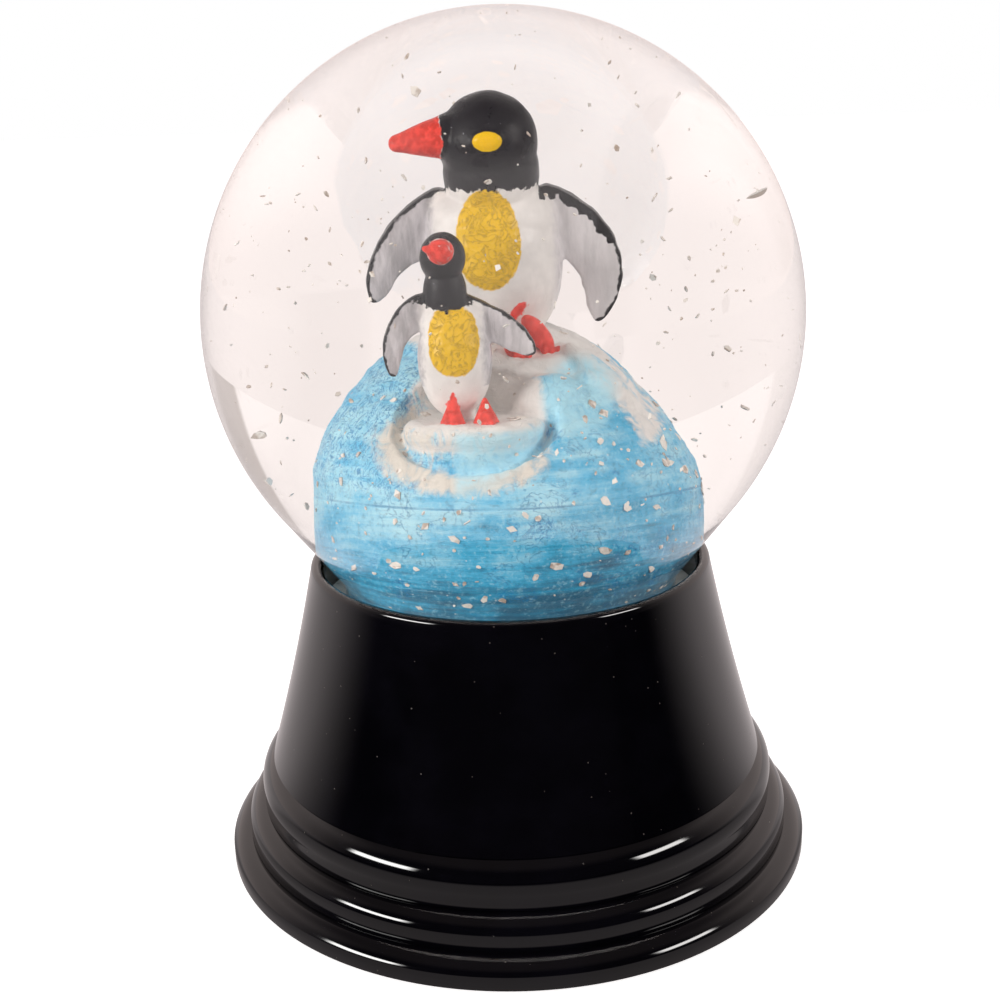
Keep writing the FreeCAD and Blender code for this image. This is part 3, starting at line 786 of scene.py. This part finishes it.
LARGE_LEFT = [(-3.02, 49.16), (-4.3, 48.73), (-5.89, 47.55), (-7.09, 45.9), (-7.72, 44.17), (-7.58, 42.94),
              (-7.18, 42.7), (-6.36, 43.31), (-5.93, 44.23), (-5.04, 44.9), (-3.2, 45.6), (-1.5, 47.5)]
LARGE_RIGHT = [(2.17, 49.23), (3.49, 48.84), (5.07, 47.86), (6.35, 46.25), (6.93, 44.48), (6.65, 42.79),
               (5.86, 41.54), (5.23, 41.3), (4.79, 42.21), (4.65, 43.32), (4.16, 44.5), (3.3, 45.2), (1.0, 47.0)]
SMALL_LEFT = [(-4.4, 44.6), (-5.92, 43.75), (-6.77, 42.46), (-7.1, 41.01), (-6.79, 39.72), (-6.3, 39.5),
              (-6.02, 40.39), (-5.76, 41.38), (-5.16, 42.12), (-3.6, 42.5)]
SMALL_RIGHT = [(-2.3, 44.4), (-1.31, 43.9), (-0.17, 43.35), (0.96, 42.55), (1.74, 41.56), (1.95, 40.75),
               (1.36, 40.6), (0.22, 41.0), (-0.68, 41.5), (-2.0, 42.2)]


def thicken(bird, co, bib, paint, skin):
    """Raises the bib's thick paint by paint (height, unevenness, scale) and roughens the skin (depth, scale)."""
    lift, uneven, scale = paint
    depth, skin_scale = skin
    co += normals_of(bird) * (np.clip(bib, 0, 1) * (lift + uneven * ripple(co, scale)))[:, None]
    co += normals_of(bird) * (depth * ripple(co, skin_scale, 5.0))[:, None]
    move_points(bird, co)


def paint_zones(bird, black, bib, red, eye, grey):
    """Stores where each colour of a penguin lies."""
    zone(bird, "black_paint", np.clip(black, -2, 2))
    zone(bird, "bib_paint", bib)
    zone(bird, "red_paint", np.clip(red, -2, 2))
    zone(bird, "eye_paint", eye)
    zone(bird, "grey_paint", np.clip(grey, -2, 2))


class SNOWGLOBE_OT_penguins(bpy.types.Operator):
    """Mould the large penguin, head turned to the side, and the small one before it, and paint them"""
    bl_idname = "snowglobe.penguins"
    bl_label = "Penguins"

    def execute(self, context):
        s = context.scene.snowglobe_penguins
        paint = penguin_paint(s)
        self.large(paint)
        self.small(paint)
        return {"FINISHED"}

    def large(self, paint):
        bm = bmesh.new()
        lump(bm, (-0.45, 1.3, 44.7), (3.95, 3.2, 5.0))
        lump(bm, (-0.4, 1.3, 47.0), (3.75, 2.7, 2.7))
        lump(bm, (-0.42, 1.1, 49.9), (2.72, 2.5, 3.0))
        lump(bm, (-0.55, 1.0, 51.55), (2.8, 2.55, 2.85))
        lump(bm, (-1.9, 0.9, 51.9), (1.7, 1.7, 1.55))
        spike(bm, (-2.2, 0.8, 52.05), (-5.7, 0.5, 51.75), 1.48, 0.50)
        lump(bm, (-5.62, 0.5, 51.76), (0.55, 0.50, 0.52))
        lump(bm, (-0.6, -1.40, 52.1), (0.86, 0.30, 0.60))
        lump(bm, (-0.6, 3.40, 52.1), (0.86, 0.30, 0.60))
        lump(bm, (0.70, -2.2, 40.55), (0.70, 0.95, 0.70), (25, 15, 10))
        lump(bm, (1.95, -1.75, 41.2), (0.62, 0.70, 1.45), (24, -36, 0))
        for toe in (-0.42, 0.0, 0.42):
            lump(bm, (1.0 + toe, -2.6, 40.05), (0.22, 0.50, 0.26))
            lump(bm, (2.75 + toe, -1.85, 40.15), (0.22, 0.45, 0.30))
        lump(bm, (-0.2, 2.6, 41.0), (1.9, 2.2, 1.2))
        spike(bm, (0.1, 1.0, 41.0), (0.1, 1.0, 38.1), 0.9, 0.9)
        wing(bm, LARGE_LEFT, 1.15, 1.0, -0.010, 0.10)
        wing(bm, LARGE_RIGHT, 1.15, 1.0, -0.010, 0.10)
        bird = cast(as_object(bm, "large_penguin_cast"), 0.105, 5)
        co = points_of(bird)
        x, y, z = co.T
        width = 1.75 + 0.25 * np.clip((48.0 - z) / 3, -1, 1)
        bib = (1 - np.hypot((x + 0.72) / width, (z - 46.6) / 2.85)) * 1.9
        bib = np.where(y < 0.8, bib, -1)
        bib = np.where(bib > -0.2, bib, -1)
        thicken(bird, co, bib / 0.35, (0.10, 0.10, 1.9), (0.035, 1.2))
        jag = 0.30 * ripple(co, 1.9, 2.0) + 0.22 * ripple(co, 4.5, 6.0)
        beak = np.minimum(-(x + 3.15) - 0.10 * (z - 52.0) ** 2 + 0.3 * jag, 2.1 - np.hypot(z - 52.0, y - 0.7))
        eye = (1 - np.hypot((x + 0.6) / 0.84, (z - 52.1) / 0.56)) * 0.7
        eye = np.where(np.abs(y - 1.0) > 1.7, eye, -1)
        feet = np.maximum.reduce([1.0 - np.hypot(x - 0.75, (z - 40.35) * 1.15),
                                  0.78 - to_line(co, [(1.2, 42.1), (2.8, 40.3)])])
        feet = np.minimum(feet, -1.2 - y)
        edges = 0.20 + 0.4 * jag - np.minimum(to_line(co, LARGE_LEFT[0:7]), to_line(co, LARGE_RIGHT[0:8]))
        upper = 0.55 + jag - to_line(co, LARGE_RIGHT[0:4])
        edges = np.maximum(edges, upper)
        edges = np.where(np.abs(x + 0.4) > 2.6, edges, -1)
        head = z - 49.25 + jag
        back = y - 1.75 - 0.5 * np.clip(43.0 - z, 0, 3) - np.where(np.abs(x + 0.4) > 4.0, -0.1, 0.9)
        black = np.maximum.reduce([head, edges, back])
        black = np.minimum(black, np.where(beak > -0.25, -beak, 9))
        grey = np.maximum(-(x + 4.15), x - 3.35) + 0.3
        paint_zones(bird, black, bib, np.maximum(beak, feet), eye, np.where(z > 41.0, grey, -1))
        finish_piece(bird, paint, "penguin_paint", "globe", "large_penguin", rise=SCENE_RISE)

    def small(self, paint):
        bm = bmesh.new()
        lump(bm, (-2.85, -6.0, 40.55), (2.18, 2.0, 3.5))
        lump(bm, (-2.85, -6.0, 42.3), (1.95, 1.7, 1.9))
        lump(bm, (-3.3, -6.0, 44.3), (1.28, 1.2, 1.9))
        lump(bm, (-3.38, -6.1, 46.4), (1.34, 1.32, 1.48))
        lump(bm, (-3.5, -7.55, 47.0), (0.80, 0.74, 0.76))
        spike(bm, (-3.7, -7.8, 47.05), (-4.55, -8.0, 47.3), 0.5, 0.12)
        spike(bm, (-3.10, -7.75, 36.9), (-3.06, -7.35, 38.5), 0.80, 0.12)
        spike(bm, (-1.15, -7.75, 36.9), (-1.20, -7.35, 38.4), 0.82, 0.12)
        for foot in (-3.12, -1.13):
            for toe in (-0.34, 0.0, 0.34):
                lump(bm, (foot + toe, -8.25, 37.0), (0.17, 0.42, 0.22))
        lump(bm, (-2.7, -4.8, 38.0), (1.2, 1.4, 0.8))
        spike(bm, (-2.6, -6.0, 38.0), (-2.6, -6.0, 35.1), 0.9, 0.9)
        wing(bm, SMALL_LEFT, -6.25, 0.75, -0.012, 0.06)
        wing(bm, SMALL_RIGHT, -6.35, 0.75, -0.012, 0.06)
        bird = cast(as_object(bm, "small_penguin_cast"), 0.075, 5)
        co = points_of(bird)
        x, y, z = co.T
        bib = (1 - (np.abs((x + 2.9) / 1.48) ** 2.4 + np.abs((z - 41.75) / 2.0) ** 2.4) ** (1 / 2.4)) * 1.5
        bib = np.where(y < -6.7, bib, -1)
        bib = np.where(bib > -0.2, bib, -1)
        thicken(bird, co, bib / 0.3, (0.07, 0.06, 2.4), (0.02, 1.7))
        ball = 0.80 - np.linalg.norm(co - np.array((-3.5, -7.6, 47.0)), axis=1)
        ball = np.maximum(ball, 0.42 - to_line(co, [(-3.7, 47.05), (-4.6, 47.35)]) - np.clip(y + 7.4, 0, 3))
        feet = 0.86 - 0.50 * np.clip(z - 37.1, 0, 3) - np.minimum(np.abs(x + 3.08), np.abs(x + 1.17))
        feet = np.minimum(feet, (z - 36.75) * 1.5)
        feet = np.minimum(feet, -7.25 - y)
        jag = 0.22 * ripple(co, 2.6, 2.0) + 0.16 * ripple(co, 6.0, 6.0)
        edges = 0.15 + 0.35 * jag - np.minimum(to_line(co, SMALL_LEFT[0:6]), to_line(co, SMALL_RIGHT[0:7]))
        edges = np.where(np.abs(x + 2.9) > 1.3, edges, -1)
        head = z - 43.75 + jag + 0.25 * np.clip(1.2 - np.abs(x + 3.4), -1, 1)
        back = y + 5.55 - np.where(np.abs(x + 2.9) > 2.4, -0.1, 0.8) - 0.5 * np.clip(39.5 - z, 0, 3)
        black = np.maximum.reduce([head, edges, back])
        black = np.minimum(black, np.where(ball > -0.12, -ball, 9))
        spot = 0.24 - np.linalg.norm(co - np.array((-4.35, -7.2, 47.35)), axis=1)
        grey = np.maximum(-(x + 4.95), x + 0.95) + 0.2
        paint_zones(bird, black, bib, np.maximum(ball, feet), spot, np.where(z > 39.0, grey, -1))
        finish_piece(bird, paint, "penguin_paint", "globe", "small_penguin", rise=SCENE_RISE)


def chip(bm, rng, place, facing, size):
    """Adds one thin, ragged chip, which is thickened later with the others."""
    spin = Matrix.Rotation(rng.uniform(0, math.tau), 3, "Z")
    turn = facing.to_track_quat("Z", "Y").to_matrix() @ spin
    sides = rng.randint(4, 7)
    made = bmesh.ops.create_circle(bm, cap_ends=True, segments=sides, radius=size)["verts"]
    stretch = rng.uniform(0.45, 1.0)
    for v in made:
        v.co *= rng.uniform(0.7, 1.25)
        v.co.x *= stretch
        v.co.z = rng.uniform(-0.14, 0.14) * size
        v.co = turn @ v.co + place


def snow_piece(context, name, chips, slot, body, *nodes):
    """Makes one piece of snow from (place, facing, size) chips."""
    s = context.scene.snowglobe_snow
    rng = random.Random(s.seed + len(chips))
    bm = bmesh.new()
    for place, facing, size in chips:
        chip(bm, rng, place, facing, size)
    bmesh.ops.solidify(bm, geom=list(bm.faces), thickness=CHIP_THICK)
    bmesh.ops.recalc_face_normals(bm, faces=bm.faces)
    return finish_piece(as_object(bm, name), snow_chips(s, name + "_chips"), slot, body, *nodes, sharp=20)


class SNOWGLOBE_OT_drifting_snow(bpy.types.Operator):
    """Scatter the flakes that drift in the water: some only swirl, some also sink"""
    bl_idname = "snowglobe.drifting_snow"
    bl_label = "Drifting snow"

    def scatter(self, rng, count, low_gap):
        """Chips that keep clear of the scene and the glass, with low_gap free beneath them."""
        chips = []
        while len(chips) < count:
            place = Vector([rng.uniform(-20.8, 20.8) for _ in range(3)])
            if place.length > DRIFT_REACH:
                continue
            around = math.hypot(place.x, place.y)
            place.z += GLOBE_MID
            height = place.z - low_gap
            sunk = Vector((place.x, place.y, height - GLOBE_MID))
            if sunk.length > DRIFT_REACH or height < DRIFT_LOW:
                continue
            if around < SCENE_REACH and height < SCENE_TOP:
                continue
            size = 0.06 + 0.25 * rng.random() ** 3.2
            chips.append((place, Vector([rng.gauss(0, 1) for _ in range(3)]).normalized(), size))
        return chips

    def execute(self, context):
        s = context.scene.snowglobe_snow
        rng = random.Random(s.seed)
        snow_piece(context, "swirling_snow_chips", self.scatter(rng, s.swirling, 0.0), "snow",
                   "swirling_snow", "swirling_flakes")
        snow_piece(context, "falling_snow_chips", self.scatter(rng, s.falling, FALL_TRAVEL), "snow",
                   "falling_snow", "falling_flakes")
        return {"FINISHED"}


class SNOWGLOBE_OT_settled_snow(bpy.types.Operator):
    """Lay flakes on the hill, the ledges and the drum"""
    bl_idname = "snowglobe.settled_snow"
    bl_label = "Settled snow"

    def execute(self, context):
        s = context.scene.snowglobe_snow
        rng = random.Random(s.seed + 5)
        skins = []
        for name in ("ice_drum", "ice_hill_cast"):
            piece = bpy.data.objects.get(name)
            if piece is None:
                raise RuntimeError("make the ice hill and drum before the settled snow")
            bm = bmesh.new()
            bm.from_mesh(piece.data)
            bmesh.ops.scale(bm, vec=(1 / MM,) * 3, verts=bm.verts)
            skins.append(BVHTree.FromBMesh(bm))
            bm.free()
        chips = []
        while len(chips) < s.settled:
            turn = rng.uniform(0, math.tau)
            wall = len(chips) % 3 != 0
            if wall:
                aim = Vector((math.sin(turn), -math.cos(turn), 0))
                start = aim * 30 + Vector((0, 0, 22.5 + 14.5 * rng.random() ** 0.9))
                way = -aim
            else:
                reach = 10.8 * math.sqrt(rng.random())
                start = Vector((reach * math.cos(turn), reach * math.sin(turn), 60))
                way = Vector((0, 0, -1))
            hits = [skin.ray_cast(start, way) for skin in skins]
            hits = [h for h in hits if h[0] is not None]
            if not hits:
                continue
            place, normal, _, _ = min(hits, key=lambda h: h[3])
            tilt = Vector([rng.gauss(0, 0.10) for _ in range(3)])
            size = 0.10 + 0.38 * rng.random() ** 2.2
            chips.append((place + normal * CHIP_THICK, (normal + tilt).normalized(), size))
        snow_piece(context, "settled_snow_chips", chips, "snow", "globe", "settled_flakes")
        return {"FINISHED"}


class SNOWGLOBE_OT_closure(bpy.types.Operator):
    """Finish the felt, cover, plaster, stopper and seal"""
    bl_idname = "snowglobe.closure"
    bl_label = "Closure"

    def execute(self, context):
        s = context.scene.snowglobe_plinth
        finishes = {
            "felt_pad": felt(s),
            "base_cover": card(s),
            "plaster_seat": plaster(),
            "neck_stopper": rubber("stopper_rubber", (0.05, 0.05, 0.052), 0.55),
            "stopper_seal": rubber("seal_rubber", (0.12, 0.12, 0.125), 0.45),
        }
        for name, finish in finishes.items():
            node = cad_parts[name]
            if not node.material_slots:
                raise RuntimeError(name + " has no material slot")
            for slot in node.material_slots:
                slot.material = finish
        return {"FINISHED"}


# ---------------------------------------------------------------- stage

class SNOWGLOBE_OT_stage(bpy.types.Operator):
    """Set up the pale table, the soft light and the camera, once the glass and the water are there"""
    bl_idname = "snowglobe.stage"
    bl_label = "Stage"

    def execute(self, context):
        s = context.scene.snowglobe_stage
        self.table(context)
        self.surroundings(context, s)
        centre = Vector((0, 0, context.scene.snowglobe_glass.centre))
        self.soft_box(context, "left_box", centre, -58, 14, 0.30, s.left, (1.0, 0.99, 0.97))
        self.soft_box(context, "right_box", centre, 62, 20, 0.24, s.right, (1.0, 0.97, 0.95))
        self.camera(context, s, centre)
        context.scene.view_settings.view_transform = "Standard"
        context.scene.view_settings.look = "None"
        return {"FINISHED"}

    def table(self, context):
        bm = bmesh.new()
        bmesh.ops.create_grid(bm, x_segments=1, y_segments=1, size=3.0)
        mesh = bpy.data.meshes.new("table")
        bm.to_mesh(mesh)
        bm.free()
        top = bpy.data.objects.new("table", mesh)
        context.scene.collection.objects.link(top)
        f = Finish("pale_table")
        grain = f.noise(f.millimetres((0.01, 0.01, 0.01)), 1.0, 3.0)
        colour = f.mix(grain, (0.93, 0.92, 0.91), (0.96, 0.95, 0.95))
        lit = f.shader(colour, 0.9, Specular_IOR_Level=0.1, Emission_Color=(1.0, 0.985, 0.98, 1.0),
                       Emission_Strength=0.75)
        at = f.millimetres()
        reach = f.node("ShaderNodeVectorMath", {0: at}, operation="LENGTH").outputs["Value"]
        # Painted light: in reflections the table glows more near the globe and towards the back.
        near = f.step(reach, 45, 95, 0.42, 0.0)
        back = f.math("DIVIDE", f.axis(at, "Y"), reach)
        behind = f.step(back, -0.30, 0.35, 0.0, 0.78)
        glow = f.node("ShaderNodeEmission", {"Color": (1.0, 0.90, 0.90, 1.0),
                                             "Strength": f.math("MAXIMUM", near, behind)}).outputs[0]
        kind = f.node("ShaderNodeLightPath").outputs
        glossy = f.minus(kind["Is Glossy Ray"], kind["Is Transmission Ray"], clamp=True)
        # Painted light: the table also glows evenly to light the pieces as bounce light.
        bounce = f.node("ShaderNodeEmission", {"Color": (1.0, 0.97, 0.95, 1.0), "Strength": 0.42}).outputs[0]
        # Painted light: seen through the glass, the table glows brighter near the globe.
        close = f.step(reach, 60, 190, 1.22, 1.0)
        through = f.node("ShaderNodeEmission", {"Color": (0.985, 0.905, 0.89, 1.0), "Strength": close}).outputs[0]
        lit = f.node("ShaderNodeMixShader", {0: kind["Is Diffuse Ray"], 1: lit, 2: bounce}).outputs[0]
        lit = f.node("ShaderNodeMixShader", {0: kind["Is Transmission Ray"], 1: lit, 2: through}).outputs[0]
        mesh.materials.append(f.end(f.node("ShaderNodeMixShader", {0: glossy, 1: lit, 2: glow}).outputs[0]))

    def surroundings(self, context, s):
        """White behind the object and an even fill; dark in front for the gloss; and, for what is seen through the
        glass, darker high up and in a band to either side, which greys the edges of the ball."""
        world = bpy.data.worlds.new("studio")
        context.scene.world = world
        world.use_nodes = True
        world.cycles.sampling_method = "NONE"
        f = Finish("studio", world.node_tree)
        way = f.node("ShaderNodeSeparateXYZ", {0: f.node("ShaderNodeTexCoord").outputs["Generated"]})
        kind = f.node("ShaderNodeLightPath").outputs
        behind = f.step(way.outputs["Y"], -0.40, 0.50)
        gloss = f.mix(behind, (0.014, 0.012, 0.015), (1.0, 0.86, 0.83))
        gloss = f.mix(f.step(way.outputs["Z"], 0.55, 0.85), gloss, (0.12, 0.10, 0.10))
        seen = f.mix(f.step(way.outputs["Z"], 0.86, 0.97), (1.08, 1.0, 0.985), (0.16, 0.13, 0.13))
        for sign, strength in ((1.0, 0.75), (-1.0, 0.16)):
            aside = f.times(way.outputs["X"], sign)
            flag = f.times(f.step(aside, 0.53, 0.56), f.step(aside, 0.70, 0.80, 1.0, 0.0))
            seen = f.mix(f.times(flag, strength), seen, (0.30, 0.25, 0.22))
        light = f.mix(kind["Is Glossy Ray"], (s.sky, s.sky * 0.985, s.sky * 0.975), gloss)
        light = f.mix(kind["Is Transmission Ray"], light, seen)
        light = f.mix(kind["Is Camera Ray"], light, (1.0, 1.0, 1.0))
        glow = f.node("ShaderNodeBackground", {"Color": light, "Strength": 1.0}).outputs[0]
        f.node("ShaderNodeOutputWorld", {"Surface": glow})

    def soft_box(self, context, name, centre, azimuth, elevation, wide, radiance, colour):
        """Wide, low soft box with feathered edges that lights everything but the glass and the water; azimuth is
        from the camera's side, to the right."""
        lamp = bpy.data.lights.new(name, "AREA")
        lamp.shape, lamp.size, lamp.size_y = "RECTANGLE", wide, 0.105
        lamp.energy = radiance * math.pi * lamp.size * lamp.size_y
        lamp.color = colour
        lamp.use_nodes = True
        f = Finish(name, lamp.node_tree)
        where = f.node("ShaderNodeNewGeometry").outputs["Parametric"]
        feather = 1.0
        for axis in "XY":
            edge = f.off_half(f.axis(where, axis))
            feather = f.times(f.step(edge, 0.30, 0.50, 1.0, 0.0), feather)
        f.node("ShaderNodeOutputLight", {0: f.node("ShaderNodeEmission", {"Strength": feather}).outputs[0]})
        box = bpy.data.objects.new(name, lamp)
        context.scene.collection.objects.link(box)
        a, e = math.radians(azimuth), math.radians(elevation)
        away = Vector((math.sin(a) * math.cos(e), -math.cos(a) * math.cos(e), math.sin(e)))
        box.location = centre + away * 0.5
        box.rotation_euler = away.to_track_quat("Z", "Y").to_euler()
        box.visible_camera = False
        box.visible_transmission = False
        clear = bpy.data.collections.get("clear_pieces") or bpy.data.collections.new("clear_pieces")
        for piece in ("blown_glass_globe", "clear_water"):
            shape = bpy.data.objects.get(piece)
            if shape is None:
                raise RuntimeError("make the glass and the water before the stage")
            if piece not in clear.objects:
                clear.objects.link(shape)
        box.light_linking.receiver_collection = clear
        for link in clear.collection_objects:
            link.light_linking.link_state = "EXCLUDE"

    def camera(self, context, s, centre):
        lens = bpy.data.cameras.new("camera")
        lens.lens, lens.sensor_width, lens.clip_start = s.lens, 36.0, 0.005
        camera = bpy.data.objects.new("camera", lens)
        context.scene.collection.objects.link(camera)
        e = s.elevation
        ahead, right = Vector((0, math.cos(e), -math.sin(e))), Vector((1, 0, 0))
        up = right.cross(ahead)
        place = centre - ahead * s.distance
        for angle, axis in CAMERA_TURNS:
            pivot = {"up": up, "right": right, "ahead": ahead}[axis]
            turn = Matrix.Rotation(math.radians(angle), 3, pivot)
            ahead, right, up = turn @ ahead, turn @ right, turn @ up
        camera.matrix_world = Matrix.Translation(place) @ Matrix((right, up, -ahead)).transposed().to_4x4()
        context.scene.camera = camera


class SNOWGLOBE_PT_sidebar(bpy.types.Panel):
    """One button for each step, in the order they are made"""
    bl_idname = "SNOWGLOBE_PT_sidebar"
    bl_label = "Snow Globe"
    bl_space_type = "VIEW_3D"
    bl_region_type = "UI"
    bl_category = "Snow Globe"

    def draw(self, context):
        for step in STEPS:
            self.layout.operator(step.bl_idname)


STEPS = (SNOWGLOBE_OT_plinth, SNOWGLOBE_OT_closure, SNOWGLOBE_OT_glass, SNOWGLOBE_OT_water, SNOWGLOBE_OT_ice,
         SNOWGLOBE_OT_penguins, SNOWGLOBE_OT_drifting_snow, SNOWGLOBE_OT_settled_snow, SNOWGLOBE_OT_stage)
SETTINGS = {"snowglobe_glass": GlassSettings, "snowglobe_plinth": PlinthSettings, "snowglobe_ice": IceSettings,
            "snowglobe_penguins": PenguinSettings, "snowglobe_snow": SnowSettings,
            "snowglobe_stage": StageSettings}


def register():
    for group in (*SETTINGS.values(), *STEPS, SNOWGLOBE_PT_sidebar):
        bpy.utils.register_class(group)
    for name, group in SETTINGS.items():
        setattr(bpy.types.Scene, name, PointerProperty(type=group))


def unregister():
    for name in SETTINGS:
        delattr(bpy.types.Scene, name)
    for group in reversed((*SETTINGS.values(), *STEPS, SNOWGLOBE_PT_sidebar)):
        bpy.utils.unregister_class(group)


def main():
    register()
    for step in STEPS:
        category, action = step.bl_idname.split(".")
        getattr(getattr(bpy.ops, category), action)()


if __name__ == "__main__":
    main()
